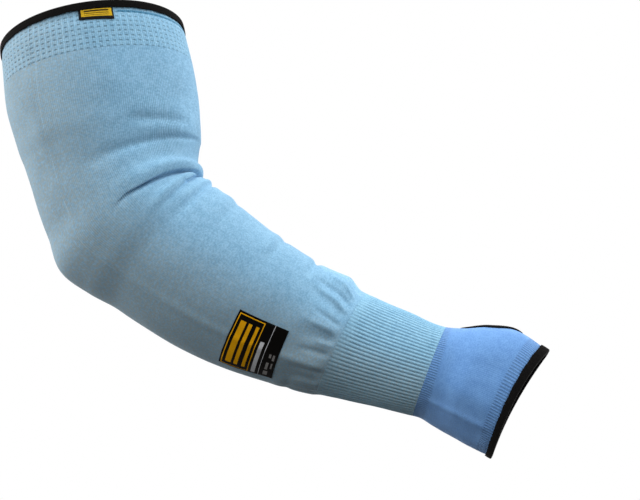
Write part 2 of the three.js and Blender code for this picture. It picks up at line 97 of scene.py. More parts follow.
# The centreline's segments with the degrees by which each turns, and the girths of the arm
HAND_LENGTH = WRIST_STRIP + THUMB_HOLE_LENGTH + RIM_STRIP
LENGTH = dict(upper=UPPER_LENGTH, elbow=84.0, forearm=213.0, hand=HAND_LENGTH)
BEND = dict(upper=0.0, elbow=-45.5, forearm=-20.5, hand=13.0)
WIDTH = dict(upper=140.0, elbow=126.0, forearm=110.0, wrist=70.0, hand=92.0)
DEPTH = dict(upper=124.0, elbow=112.0, forearm=98.0, wrist=50.0, hand=44.0)

# Sections: segment, share along it, girth, half widths towards and away from the inner elbow as
# shares of the girth's width, and depth as a share of the girth's
SECTIONS = (
    ("upper", 0.00, "upper", 0.475, 0.482, 0.96),
    ("upper", 0.12, "upper", 0.487, 0.490, 0.99),
    ("upper", 0.50, "upper", 0.507, 0.495, 1.00),
    ("upper", 0.85, "upper", 0.498, 0.467, 0.98),
    ("elbow", 0.18, "elbow", 0.524, 0.475, 1.00),
    ("elbow", 0.42, "elbow", 0.490, 0.485, 1.00),
    ("elbow", 0.62, "elbow", 0.462, 0.527, 1.00),
    ("elbow", 0.80, "elbow", 0.448, 0.490, 0.98),
    ("forearm", 0.00, "forearm", 0.520, 0.515, 1.03),
    ("forearm", 0.18, "forearm", 0.495, 0.510, 1.00),
    ("forearm", 0.38, "forearm", 0.445, 0.480, 0.93),
    ("forearm", 0.52, "forearm", 0.420, 0.430, 0.86),
    ("forearm", 0.62, "forearm", 0.424, 0.395, 0.80),
    ("forearm", 0.69, "wrist", 0.565, 0.580, 1.36),
    ("forearm", 0.76, "wrist", 0.550, 0.545, 1.22),
    ("forearm", 0.88, "wrist", 0.525, 0.508, 1.10),
    ("hand", 0.00, "wrist", 0.490, 0.490, 1.00),
    ("hand", 0.20, "hand", 0.405, 0.405, 1.05),
    ("hand", 0.42, "hand", 0.480, 0.435, 1.15),
    ("hand", 0.70, "hand", 0.535, 0.455, 1.10),
    ("hand", 1.00, "hand", 0.500, 0.455, 0.92),
)

# Creases across the arm: segment, share along it, drift from the first to the last angle, bow by
# cos^4 of the angle, first and last angle, then crest, tuck and reach as shares of the girth's width
CREASES = (
    ("elbow", 0.587, 0.000, 0.150, -106, 110, 0.026, 0.042, 0.072),
    ("elbow", 0.756, 0.130, 0.000, 6, 90, 0.014, 0.022, 0.050),
    ("elbow", 0.880, -0.100, 0.000, -84, -6, 0.012, 0.018, 0.052),
    ("elbow", 1.007, 0.030, 0.000, -42, 84, 0.010, 0.015, 0.054),
    ("elbow", 0.060, 0.170, 0.000, 0, 118, 0.005, 0.010, 0.080),
    ("upper", 0.920, 0.000, 0.000, 22, 80, 0.004, 0.008, 0.062),
    ("upper", 0.800, 0.120, 0.000, -124, -28, 0.004, 0.008, 0.070),
    ("forearm", 0.120, 0.020, 0.000, -46, 66, 0.009, 0.006, 0.072),
    ("forearm", 0.355, 0.000, 0.000, -30, 76, 0.008, 0.007, 0.064),
    ("forearm", 0.492, 0.010, 0.000, -76, 64, 0.004, 0.020, 0.064),
    ("forearm", 0.590, -0.030, 0.000, 150, 250, 0.003, 0.005, 0.060),
)

# Gathers along the arm, by segment: first and last share along it, angle at the lower end, lean at the
# upper end, rise as a share of the girth's width, and half width in degrees
GATHERS = {
    "forearm": (
        (0.49, 0.69, 20, -6, -0.010, 9),
        (0.50, 0.69, 40, -8, 0.012, 9),
        (0.49, 0.69, 76, -16, -0.019, 10),
        (0.52, 0.69, 102, 5, -0.017, 9),
        (0.48, 0.69, 132, 2, 0.016, 9),
        (0.50, 0.69, 152, 3, -0.010, 9),
        (0.52, 0.69, 196, 4, 0.010, 11),
        (0.50, 0.69, 228, -5, -0.012, 11),
        (0.53, 0.69, 262, 6, 0.011, 11),
        (0.49, 0.69, 300, -8, -0.013, 11),
    ),
    "hand": (
        (0.05, 0.85, 76, 6, -0.007, 10),
        (0.05, 0.85, 112, -6, 0.008, 10),
        (0.05, 0.90, 148, 3, -0.010, 11),
        (0.05, 0.85, 236, 5, -0.009, 12),
    ),
}

# Small puckers that run into the ribs: first and last station, angle at the lower end, lean at the
# upper end, rise in mm and half width in degrees
PUCKERS = (
    (286, 321, 30, -5, -0.55, 3.4),
    (292, 321, 48, -9, 0.60, 3.2),
    (280, 321, 60, -10, -0.70, 3.4),
    (284, 321, 70, -12, 0.65, 3.0),
    (290, 320, 87, -6, -0.55, 3.0),
    (286, 320, 95, -2, 0.50, 3.0),
    (300, 320, 108, 2, 0.45, 2.8),
    (292, 320, 118, 3, -0.60, 3.2),
    (288, 319, 140, 2, -0.55, 3.4),
    (296, 319, 160, -2, 0.50, 3.4),
    (284, 320, 180, 4, -0.55, 4.0),
    (290, 320, 210, -3, 0.60, 4.0),
    (284, 320, 244, 3, -0.60, 4.0),
    (290, 320, 278, -3, 0.55, 4.0),
    (286, 321, 318, 4, 0.60, 4.0),
    (292, 321, 342, -4, -0.60, 4.0),
)
PUCKER_DEPTH = 2.1

# How folds spread and fade, and where the pressed edges are worn
CREASE_FADE = 0.3
GATHER_FADE_IN = 0.6
GATHER_FADE_OUT = 0.2
CREST_SPREAD = 0.7
TUCK_SPREAD = 0.4
PRESS_FADE = 12.0
PRESS_WORN = 0.45
PRESS_RETURN = 40.0
PRESS_SPREAD = 4.0

# The upper fabric rolls over the deepest creases: the crease's row, first and last angle, shift of
# the line, how far the fabric slides down and within what reach, then the groove's depth, onset and
# recovery, in mm
ROLLS = (
    (0, -100, 104, -2.0, 2.4, 5.0, 5.5, 0.5, 2.2),
    (1, 0, 46, -2.0, 1.4, 3.0, 3.0, 0.6, 2.2),
)
ROLL_FADE = 0.14
ROLLED_FULLNESS = 1.9
ROLLED_TUCK = 0.5
BACKING_REACH = 6.0

# The main crease sags past an angle round the arm, in mm by the square of the degrees
SAG = 0.014
SAG_FROM = 84.0

# Slow unevenness of the hand-pulled knit: waves along, waves round, phase and height in mm
UNEVENNESS = (
    (3.1, 2, 0.4, 0.20),
    (5.3, -3, 1.9, 0.16),
    (8.7, 5, 0.7, 0.11),
    (13.9, -7, 2.6, 0.07),
)

# How finely rings and spacings are measured before they are shared out
RING_MARKS = 1441
CROWD_MARKS = 801
TINY = 1e-9


def smooth(x):
    x = np.clip(x, 0.0, 1.0)
    return x * x * (3.0 - 2.0 * x)


def bell(x):
    return np.exp(-x * x)


def turned_by(angle, period):
    return np.mod(angle + period / 2, period) - period / 2


START = {}
SLEEVE_LENGTH = 0.0
for segment_name, segment_length in LENGTH.items():
    START[segment_name] = SLEEVE_LENGTH
    SLEEVE_LENGTH += segment_length
RIB_END = START["hand"]
RIB_START = RIB_END - RIB_LENGTH


def station_of(segment, along):
    return START[segment] + along * LENGTH[segment]


def rib_edge(station, angle):
    return station + RIB_SKEW * np.cos(np.radians(angle))


def curve_through(places, values):
    """A smooth curve through a table's values that never overshoots them."""
    places = np.asarray(places, float)
    values = np.asarray(values, float)
    spans = np.diff(places)
    climbs = np.diff(values) / spans
    slopes = np.concatenate(([climbs[0]], np.zeros(len(climbs) - 1), [climbs[-1]]))
    for i in range(1, len(climbs)):
        before, after = climbs[i - 1], climbs[i]
        if before * after > 0:
            slopes[i] = 2 * before * after / (before + after)

    def curve(place):
        x = np.clip(place, places[0], places[-1])
        i = np.clip(np.searchsorted(places, x, side="right") - 1, 0, len(spans) - 1)
        t = (x - places[i]) / spans[i]
        first = values[i] * (1 + 2 * t) * (1 - t) ** 2 + slopes[i] * spans[i] * t * (1 - t) ** 2
        second = values[i + 1] * t * t * (3 - 2 * t) + slopes[i + 1] * spans[i] * t * t * (t - 1)
        return first + second

    return curve


SECTION_PLACES = [station_of(segment, along) for segment, along, *_ in SECTIONS]
inner_half = curve_through(SECTION_PLACES, [row[3] * WIDTH[row[2]] for row in SECTIONS])
outer_half = curve_through(SECTION_PLACES, [row[4] * WIDTH[row[2]] for row in SECTIONS])
half_depth = curve_through(SECTION_PLACES, [row[5] * DEPTH[row[2]] / 2 for row in SECTIONS])


def bend(heading, segment, run):
    """How far a run along a segment goes in x and z, and the heading on which it ends."""
    turn = math.radians(BEND[segment])
    if turn == 0:
        return run * math.cos(heading), -run * math.sin(heading), heading
    radius = LENGTH[segment] / turn
    ahead = heading + run / radius
    return radius * (np.sin(ahead) - math.sin(heading)), radius * (np.cos(ahead) - math.cos(heading)), ahead


def centreline(station):
    """Centre and heading of the arm's centreline; the heading is measured downwards from +X."""
    x_at, z_at, heading_at = np.zeros((3, *station.shape))
    x = z = 0.0
    heading = math.radians(90 - UPPER_LEAN)
    for segment, start in START.items():
        here = (station >= start) | (start == 0)
        along, down, heading_at[here] = bend(heading, segment, station[here] - start)
        x_at[here] = x + along
        z_at[here] = z + down
        along, down, heading = bend(heading, segment, LENGTH[segment])
        x += along
        z += down
    return x_at, z_at, heading_at


def share_round(angle, first, last):
    """How far an angle has come from a first to a last one, as a share."""
    return 0.5 + turned_by(angle - (first + last) / 2, 360) / (last - first)


def eased(share, fade_in, fade_out):
    """1 between shares 0 and 1, easing to 0 at both."""
    return smooth(share / fade_in) * smooth((1 - share) / fade_out)


def window(angle, first, last, fade):
    return eased(share_round(angle, first, last), fade, fade)


def crease_line(row, angle):
    """The station of a crease's line at an angle."""
    segment, along, drift, bow, first, last = row[:6]
    bowed = np.maximum(0, np.cos(np.radians(angle))) ** 4
    line = station_of(segment, along + drift * share_round(angle, first, last) + bow * bowed)
    if row is CREASES[0]:
        line = line + SAG * np.maximum(0, turned_by(angle, 360) - SAG_FROM) ** 2
    return line


def crease_lift(station, angle):
    lift = 0.0
    rolled = [roll_row[0] for roll_row in ROLLS]
    for i, row in enumerate(CREASES):
        crest, tuck, reach = row[6:]
        width = WIDTH[row[0]]
        strength = window(angle, row[4], row[5], CREASE_FADE)
        off = (station - crease_line(row, angle)) / (reach * width)
        full = np.where(off < 0, ROLLED_FULLNESS, 1.0) if i in rolled else 1.0
        tuck = tuck * ROLLED_TUCK if i in rolled else tuck
        lift = lift + strength * width * crest * bell((off + 1) / CREST_SPREAD)
        lift = lift - strength * width * tuck * bell(off * full / TUCK_SPREAD)
    return lift


def roll(station, angle):
    """The grooves under the deepest creases and the slide of the fabric that rolls over them."""
    groove = 0.0
    slide = 0.0
    for row, first, last, shift, most, reach, depth, onset, recovery in ROLLS:
        past = station - crease_line(CREASES[row], angle) - shift
        strength = window(angle, first, last, ROLL_FADE)
        under = smooth(0.5 + past / (2 * onset))
        groove = groove + strength * depth * under * np.exp(-np.maximum(0, past) / recovery)
        slide = slide + strength * most * bell((past + reach / 2) / reach) * (1 - under)
    return groove, slide


def backing(station, angle):
    """How much thicker the wall is behind a rolled crease, where the fabric lies folded."""
    deep = 0.0
    for row, first, last, shift, _, _, depth, _, _ in ROLLS:
        past = station - crease_line(CREASES[row], angle) - shift
        deep = deep + window(angle, first, last, ROLL_FADE) * depth * bell(past / BACKING_REACH)
    return deep


def ridge(share, angle, at, lean, spread):
    """A ridge along the arm, strongest near its lower end."""
    off = turned_by(angle - at - lean * (1 - share), 360)
    return eased(share, GATHER_FADE_IN, GATHER_FADE_OUT) * bell(off / spread)


def gather_lift(station, angle):
    lift = 0.0
    for segment, rows in GATHERS.items():
        for first, last, at, lean, rise, spread in rows:
            start = station_of(segment, first)
            share = (station - start) / (station_of(segment, last) - start)
            lift = lift + rise * WIDTH[segment] * ridge(share, angle, at, lean, spread)
    return lift


def pucker_lift(station, angle):
    lift = 0.0
    for first, last, at, lean, rise, spread in PUCKERS:
        share = (station - first) / (last - first)
        lift = lift + PUCKER_DEPTH * rise * ridge(share, angle, at, lean, spread)
    return lift


def press_lift(station, angle):
    """The two edges along which the tube was pressed flat."""
    on_arm = smooth((station - WELT_LENGTH) / PRESS_FADE) * smooth((RIB_START - station) / PRESS_FADE)
    on_arm = on_arm * (PRESS_WORN + (1 - PRESS_WORN) * smooth((station - START["forearm"]) / PRESS_RETURN))
    hand_end = SLEEVE_LENGTH - HAND_COVER
    on_hand = smooth((station - RIB_END) / PRESS_FADE) * smooth((hand_end - station) / PRESS_FADE)
    return PRESS_RISE * (on_arm + on_hand) * bell(turned_by(angle - PRESS_ANGLE, 180) / PRESS_SPREAD)


def uneven_lift(station, angle):
    lift = 0.0
    for along, round_about, phase, height in UNEVENNESS:
        turn = 2 * math.pi * along * station / SLEEVE_LENGTH + round_about * np.radians(angle) + phase
        lift = lift + height * np.sin(turn)
    calm = smooth(station / TOP_COVER - 1) * smooth((SLEEVE_LENGTH - station) / HAND_COVER - 1)
    return lift * calm


def fabric(station, angle, lift=0.0, rolled=True):
    """A point of the fabric's outer face, raised along its normal by lift."""
    station, angle, lift = np.broadcast_arrays(station, angle, lift)
    cos = np.cos(np.radians(angle))
    sin = np.sin(np.radians(angle))
    groove, slide = roll(station, angle) if rolled else (backing(station, angle), 0.0)
    top_slant = RIM_RISE * sin * (1 - smooth(station / (UPPER_LENGTH / 2)))
    on_hand = smooth((station - START["hand"]) / HAND_LENGTH)
    place = station - top_slant - HAND_DIP * sin * sin * on_hand + slide
    x, z, heading = centreline(place)
    half = np.where(cos > 0, inner_half(place), outer_half(place))
    deep = half_depth(place)
    long = np.hypot(deep * cos, half * sin)
    folds = crease_lift(station, angle) + gather_lift(station, angle) + press_lift(station, angle)
    raised = lift + folds - groove + pucker_lift(station, angle) + uneven_lift(station, angle)
    across = half * cos + raised * deep * cos / long
    side = deep * sin + raised * half * sin / long
    return np.stack([x + across * np.sin(heading), -side, z + across * np.cos(heading)], axis=-1)


def walked_round(station, angles):
    """How far round the arm each of several angles lies from the first."""
    steps = np.linalg.norm(np.diff(fabric(station, angles), axis=0), axis=1)
    return np.concatenate(([0.0], np.cumsum(steps)))


def even_angles(station, count, start=SEAM_ANGLE):
    """Angles evenly spaced by distance round the arm, once round from a start angle."""
    marks = start + np.linspace(0.0, 360.0, RING_MARKS)
    walked = walked_round(station, marks)
    return np.interp(np.linspace(0, walked[-1], count + 1), walked, marks)


def walk_round(station, start, distance):
    """The angle reached by walking a distance round the arm from a start angle."""
    marks = start + math.copysign(1.0, distance) * np.linspace(0.0, 180.0, RING_MARKS)
    return float(np.interp(abs(distance), walked_round(station, marks), marks))


def crowded(count, weight):
    """Values from 0 to 1 that crowd together where weight is large."""
    marks = np.linspace(0.0, 1.0, CROWD_MARKS)
    sums = np.concatenate(([0.0], np.cumsum(weight((marks[1:] + marks[:-1]) / 2))))
    return np.interp(np.linspace(0, sums[-1], count), sums, marks)


# Meshes, which show an edge where it is sharper than so many degrees
SHARP_KNIT = 50
SHARP_TRIM = 60


def build_mesh(name, points, faces, corner_uvs, sharp_degrees):
    """A closed mesh in metres from points in mm, four-cornered faces and a UV for each corner."""
    points = np.asarray(points, float)
    faces = np.asarray(faces)
    a, b, c, d = (points[faces[:, k]] for k in range(4))
    volume = np.einsum("ij,ij->", a, np.cross(b, c)) + np.einsum("ij,ij->", a, np.cross(c, d))
    if volume < 0:
        faces = faces[:, ::-1]
        corner_uvs = corner_uvs[:, ::-1]
    mesh = bpy.data.meshes.new(name)
    mesh.from_pydata(points * METRES, [], faces, shade_flat=False)
    layer = mesh.uv_layers.new(name="fabric")
    layer.data.foreach_set("uv", corner_uvs.reshape(-1, 2).ravel())
    mesh.validate()
    mesh.set_sharp_from_angle(angle=math.radians(sharp_degrees))
    return mesh


def add_piece(mesh, material, node):
    piece = bpy.data.objects.new(mesh.name, mesh)
    scene.collection.objects.link(piece)
    mesh.materials.append(material)
    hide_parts(node)
    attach(piece, BODY)
    return piece


def grid_faces(rows, columns, offset=0):
    """Faces of a grid whose columns close into a ring, as indices and as (row, column) corners."""
    i, j = np.meshgrid(np.arange(rows - 1), np.arange(columns), indexing="ij")
    around = [np.stack(corner, -1) for corner in ((i, j), (i, j + 1), (i + 1, j + 1), (i + 1, j))]
    corners = np.stack(around, axis=2).reshape(-1, 4, 2)
    indices = offset + corners[..., 0] * columns + corners[..., 1] % columns
    return indices, corners


def tube(name, front, back):
    """A wall between an outer and an inner ring-shaped face, each a grid of points and one of UVs."""
    outer, outer_uv = front
    inner, inner_uv = back
    rows, columns = outer.shape[:2]
    depth_rows = inner.shape[0]
    points = np.concatenate([outer.reshape(-1, 3), inner.reshape(-1, 3)])
    face_out, corner_out = grid_faces(rows, columns)
    face_in, corner_in = grid_faces(depth_rows, columns, rows * columns)
    faces = [face_out, face_in[:, ::-1]]
    uvs = [outer_uv[corner_out[..., 0], corner_out[..., 1]],
           inner_uv[corner_in[..., 0], corner_in[..., 1]][:, ::-1]]
    j = np.arange(columns)
    following = (j + 1) % columns
    for row, back_row in ((0, 0), (rows - 1, depth_rows - 1)):
        front = row * columns
        back = rows * columns + back_row * columns
        ring = np.stack([front + following, front + j, back + j, back + following], axis=1)
        front_uv, back_uv = outer_uv[row], inner_uv[back_row]
        ring_uv = np.stack([front_uv[j + 1], front_uv[j], back_uv[j], back_uv[j + 1]], axis=1)
        faces.append(ring if row == 0 else ring[:, ::-1])
        uvs.append(ring_uv if row == 0 else ring_uv[:, ::-1])
    return build_mesh(name, points, np.concatenate(faces), np.concatenate(uvs), SHARP_KNIT)


def wall(name, outer, inner, uv, solid, ring, sharp_degrees):
    """A wall between two grids of one size, closed wherever a solid cell has no neighbour."""
    rows, columns = outer.shape[:2]
    cells = columns if ring else columns - 1
    behind = rows * columns
    points = np.concatenate([outer.reshape(-1, 3), inner.reshape(-1, 3)])
    faces = []
    uvs = []
    for i in range(rows - 1):
        for j in range(cells):
            if not solid[i, j]:
                continue
            corners = ((i, j), (i, j + 1), (i + 1, j + 1), (i + 1, j))
            front = [r * columns + c % columns for r, c in corners]
            back = [index + behind for index in front]
            spots = [uv[r, c] for r, c in corners]
            faces.append(front)
            uvs.append(spots)
            faces.append(back[::-1])
            uvs.append(spots[::-1])
            sides = ((i - 1, j), (i, j + 1), (i + 1, j), (i, j - 1))
            for side, (r, c) in enumerate(sides):
                inside = 0 <= r < rows - 1 and (ring or 0 <= c < cells)
                if inside and solid[r, c % cells]:
                    continue
                k = (side + 1) % 4
                faces.append([front[k], front[side], back[side], back[k]])
                uvs.append([spots[k], spots[side], spots[side], spots[k]])
    used, faces = np.unique(np.array(faces), return_inverse=True)
    return build_mesh(name, points[used], faces.reshape(-1, 4), np.array(uvs), sharp_degrees)


# Procedural materials
TURN = 2 * math.pi
ARM_WALES = 264
ARM_COURSES = 380
RIB_COURSES = ARM_COURSES * 1.15
CUFF_WALES = 200
CUFF_COURSES = ARM_COURSES * 1.5
STITCH_DENT = 0.3

# Yarns: pale, deep and tan as they show, in steps of 255, and the tan's least and most share round the arm
YARNS = {
    "jersey": ((148, 198, 230), (114, 166, 202), (154, 163, 160), 0.10, 0.82),
    "open": ((152, 202, 232), (124, 176, 210), (162, 170, 168), 0.06, 0.60),
    "rib": ((151, 203, 232), (122, 176, 209), (160, 168, 164), 0.08, 0.62),
    "cuff": ((116, 166, 224), (97, 146, 208), (126, 138, 154), 0.02, 0.30),
}
TAN_ANGLE = 165.0
TAN_SIDE = (0.5, 1.0)

# Heathering: streaks and flecks to a wale and to a course, the scale, detail and roughness of each noise,
# and the values at which it turns the yarn pale or tan
STREAKS = (0.80, 0.85)
FLECKS = (0.66, 0.75)
FLECK_LAYER = 7.0
STREAK_NOISE = (1.0, 2.0, 0.6)
FLECK_NOISE = (1.0, 2.0, 0.7)
CLOUD_NOISE = (190.0, 3.0, 0.6)
STREAK_SHARE = 0.65
STREAK_TURN = (0.34, 0.66)
FLECK_TURN = (0.36, 0.64)
FLECK_LEAST = 0.40

# Plain knit: how open its stitches lie, how dark their gaps are, and the forearm's dimming. Places along
# the sleeve are shares of its length, and places round it shares of a turn.
LOOSE_UNTIL = (0.30, 0.37)
LOOSE_EVERYWHERE = 0.06
LOOSE_ABOVE = 0.15
LOOSE_PATCHES = 0.30
PATCHES = (22.0, 1.0, 0.40, 0.62)
GAP_SHADE = 0.38
JERSEY_LIGHTNESS = 1.03
FOREARM_FROM = (0.35, 0.45)
FOREARM_TO = (0.58, 0.68)
FOREARM_SHADE = 0.12
KNIT_BUMP = 0.0004

# The thin line along which the tube was pressed, and on the plain knit its patchy painted highlight where
# the crease bends
PRESS_LINE = 0.6108
PRESS_LINE_LEAN = 0.07
PRESS_LINE_WIDTH = 0.0024
PRESS_LINE_END = 0.45
PRESS_LINE_LIGHT = 0.14
PRESS_HIGHLIGHT_PATCHES = (60.0, 2.0, 0.25, 0.65)

# Open knit: pits round the arm and their pitch in mm, their half size in shares of a cell, and the seam
# line under the top binding, darkened with painted shadow where the fabric gathers beneath the binding
PIT_COUNT = 86
PIT_PITCH = 3.1
PIT_WIDE = (0.15, 0.31)
PIT_HIGH = (0.07, 0.26)
PIT_SHADE = 0.15
PIT_SHADE_MORE = 0.13
PIT_DARKER_ROUND = (0.38, 0.60)
RIDGE_WIDE = (0.36, 0.48)
RIDGE_LIGHT = 0.10
DASH_HIGH = (0.24, 0.36)
DASH_DEPTH = 1.4
OPEN_LIGHTNESS = 0.86
OPEN_KNIT_LIGHT = 0.16
OPEN_KNIT_BUMP = 0.4
SEAM_SHADOW_ROUND = (0.20, 0.445)
SEAM_SHADOW_ALONG = (6.0, 7.7)
SEAM_SHADOW_STRENGTH = 0.8
SEAM_SHADOW_COLOUR = (48, 118, 156)

# Ribs: their grooves, and the ragged line at which these start, in mm
RIB_SLOPE = 0.7
RIB_LIGHTNESS = 0.94
RIB_KNIT_LIGHT = 0.06
GROOVE_WIDE = (0.22, 0.48)
GROOVE_SHADE = 0.14
GROOVE_START = (-3.0, 4.0)
RAGGED_COUNT = 38.0
RAGGED_NOISE = (1.0, 1.0)
RAGGED_DEPTH = 8.0
RIB_BUMP = 0.0001

# Hand knit: the strokes along both of its ends, in mm
STROKE_COUNT = 118
STROKE_WIDE = (0.10, 0.40)
STROKES_FROM_RIM = (9.5, 8.0)
STROKES_FROM_RIBS = (5.0, 8.0)
STROKE_SHADE = 0.24
CUFF_LIGHTNESS = 0.94
CUFF_KNIT_LIGHT = 0.07
CUFF_KNIT_BUMP = 0.2
CUFF_BUMP = 0.0002

# Woven label and patch: left, right, low and high edges of their plain bars as shares of their size
LABEL_FIELD = (0.05, 0.93, 0.06, 0.74)
LABEL_BARS = ((0.14, 0.84, 0.16, 0.28), (0.14, 0.84, 0.40, 0.46), (0.14, 0.84, 0.58, 0.62))
LABEL_THREADS = (60, 26)
LABEL_GOLD = (246, 200, 38)
LABEL_BLACK = (14, 12, 11)
THREAD_LIGHT = 0.15
RAISED_MARKS = 1.5
LABEL_BUMP = 0.0001
PATCH_FRAME = (0.03, 0.97, 0.035, 0.55)
PATCH_FRAME_BAND = (0.014, 0.018)
PATCH_BARS = ((0.12, 0.88, 0.11, 0.22), (0.12, 0.88, 0.27, 0.34), (0.12, 0.88, 0.42, 0.48))
PATCH_STRIPES = ((0.30, 0.95, 0.60, 0.675), (0.0, 1.0, 0.735, 0.745))
PATCH_MARKS = ((0.62, 0.78, 0.83, 0.88), (0.82, 0.93, 0.82, 0.90), (0.62, 0.74, 0.92, 0.95),
               (0.44, 0.52, 0.84, 0.88), (0.44, 0.56, 0.91, 0.95))
PATCH_BLACK = (7, 6, 5)
PATCH_GOLD = (242, 174, 16)
PATCH_SILVER = (208, 210, 214)
PATCH_GREY = (150, 148, 146)
GRAIN = (1500.0, 2.0, 0.6)
GRAIN_SHARE = 0.4
GRAIN_BUMP = 0.00012

# Thread of the bindings
THREAD_DARK = (6, 5, 5)
THREAD_PALE = (17, 15, 14)
FUZZ = (900.0, 3.0, 0.6)
FUZZ_TURN = (0.35, 0.7)
FUZZ_BUMP = 0.0002

# Surfaces, by the shader's own inputs
CLOTH = {"Roughness": 0.92, "Sheen Weight": 0.12, "Sheen Roughness": 0.6, "Specular IOR Level": 0.15}
RIB_CLOTH = CLOTH | {"Sheen Weight": 0.1}
CUFF_CLOTH = CLOTH | {"Roughness": 0.9}
THREAD = {"Roughness": 0.85, "Specular IOR Level": 0.08}
WOVEN = {"Roughness": 0.75, "Specular IOR Level": 0.15}
PRINTED = {"Roughness": 0.8, "Specular IOR Level": 0.03}


def linear(shown):
    """A colour given as it shows, in steps of 255, as the linear values behind the sRGB curve."""
    shares = (np.array(shown) / 255.0).tolist()
    return tuple(c / 12.92 if c <= 0.04045 else ((c + 0.055) / 1.055) ** 2.4 for c in shares) + (1.0,)


class Value:
    """A node's output, so that what is worked out from outputs reads as plain arithmetic."""

    def __init__(self, nodes, socket):
        self.nodes = nodes
        self.socket = socket

    def __add__(self, other):
        return self.nodes.calc("ADD", self, other)

    def __sub__(self, other):
        return self.nodes.calc("SUBTRACT", self, other)

    def __rsub__(self, other):
        return self.nodes.calc("SUBTRACT", other, self)

    def __mul__(self, other):
        return self.nodes.calc("MULTIPLY", self, other)


class Nodes:
    """A node tree, with a short call for each node that the knits and the room use."""

    def __init__(self, tree):
        self.tree = tree

    def put(self, socket, value):
        if isinstance(value, Value):
            self.tree.links.new(value.socket, socket)
        else:
            socket.default_value = value

    def new(self, kind, inputs=(), output=0, **settings):
        """A new node's output; inputs are pairs of a name or number and a value."""
        node = self.tree.nodes.new("ShaderNode" + kind)
        for name, value in settings.items():
            setattr(node, name, value)
        for name, value in inputs:
            self.put(node.inputs[name], value)
        return Value(self, node.outputs[output]) if node.outputs else None

    def calc(self, operation, *values):
        return self.new("Math", enumerate(values), operation=operation)

    def place(self, kind="Object"):
        return self.new("TexCoord", output=kind)

    def split(self, vector):
        parts = self.new("SeparateXYZ", [(0, vector)]).socket.node.outputs
        return [Value(self, socket) for socket in parts]

    def vector(self, *values):
        return self.new("CombineXYZ", enumerate(values))

    def noise(self, place, scale, detail, roughness=0.5):
        inputs = [("Vector", place), ("Scale", scale), ("Detail", detail), ("Roughness", roughness)]
        return self.new("TexNoise", inputs, "Fac")

    def ramp(self, value, low, high):
        """0 below low, 1 above high, eased between."""
        inputs = [("Value", value), ("From Min", low), ("From Max", high)]
        return self.new("MapRange", inputs, "Result", interpolation_type="SMOOTHSTEP")

    def clouds(self, scale, detail, low, high):
        return self.ramp(self.noise(self.place(), scale, detail), low, high)

    def mix(self, share, first, second, blend="MIX"):
        inputs = [("Factor", share), (6, first), (7, second)]
        return self.new("Mix", inputs, 2, data_type="RGBA", blend_type=blend)

    def shaded(self, colour, shade):
        return self.mix(1.0, colour, self.vector(shade, shade, shade), "MULTIPLY")


class Finish(Nodes):
    """The nodes of a material."""

    def __init__(self, name):
        self.material = bpy.data.materials.new(name)
        self.material.use_nodes = True
        super().__init__(self.material.node_tree)
        self.shader = self.tree.nodes["Principled BSDF"]

    def uv(self):
        return self.split(self.new("UVMap", output="UV", uv_map="fabric"))[:2]

    def bump(self, height, distance):
        inputs = [("Distance", distance), ("Strength", 1.0), ("Height", height)]
        self.put(self.shader.inputs["Normal"], self.new("Bump", inputs, "Normal"))

    def done(self, colour, surface):
        self.put(self.shader.inputs["Base Color"], colour)
        for name, value in surface.items():
            self.shader.inputs[name].default_value = value
        return self.material


def from_middle(nodes, value, count):
    """How far a value lies from the middle of its cell, from 0 to 0.5, with count cells to a unit."""
    return nodes.calc("ABSOLUTE", nodes.calc("FRACT", value * float(count)) - 0.5)


def stitches(nodes, u, v, wales=ARM_WALES, courses=ARM_COURSES, slope=1.0):
    """Height of plain knit: 0 between the wales, 1 on them, and dented at each stitch."""
    off = from_middle(nodes, u, wales)
    wale = nodes.calc("COSINE", off * TURN) * 0.5 + 0.5
    leaned = v * float(courses) + off * slope
    dent = nodes.calc("SINE", nodes.calc("FRACT", leaned) * math.pi)
    return wale * (dent * STITCH_DENT + (1 - STITCH_DENT))


def heather(nodes, u, v, yarn, wales=ARM_WALES, courses=ARM_COURSES):
    """Colour of heathered yarn: short streaks of pale and deep blue, with tan flecks among them."""
    pale, deep, tan, least, most = YARNS[yarn]
    streak_place = nodes.vector(u * (wales * STREAKS[0]), v * (courses * STREAKS[1]))
    streak = nodes.noise(streak_place, *STREAK_NOISE)
    cloud = nodes.noise(nodes.place(), *CLOUD_NOISE)
    fleck_place = nodes.vector(u * (wales * FLECKS[0]), v * (courses * FLECKS[1]), FLECK_LAYER)
    fleck = nodes.noise(fleck_place, *FLECK_NOISE)
    blend = streak * STREAK_SHARE + cloud * (1 - STREAK_SHARE)
    blue = nodes.mix(nodes.ramp(blend, *STREAK_TURN), linear(deep), linear(pale))
    among = nodes.ramp(fleck, *FLECK_TURN) * (1 - FLECK_LEAST) + FLECK_LEAST
    side = nodes.calc("COSINE", u * TURN + math.radians(SEAM_ANGLE - TAN_ANGLE)) * 0.5 + 0.5
    tan_share = nodes.ramp(side, *TAN_SIDE) * (most - least) + least
    return nodes.mix(among * tan_share, blue, linear(tan))


def bars(nodes, u, v, rows):
    """1 inside any of several rectangles, each given as its left, right, low and high edges."""
    inside = 0.0
    for left, right, low, high in rows:
        wide = nodes.calc("GREATER_THAN", u, left) * nodes.calc("LESS_THAN", u, right)
        tall = nodes.calc("GREATER_THAN", v, low) * nodes.calc("LESS_THAN", v, high)
        inside = nodes.calc("MAXIMUM", inside, wide * tall)
    return inside


def press_line(nodes, u, v, low, high):
    """1 on the pressed line, which leans as it goes down the arm, between two places along it."""
    return bars(nodes, u - v * PRESS_LINE_LEAN, v, [(PRESS_LINE, PRESS_LINE + PRESS_LINE_WIDTH, low, high)])


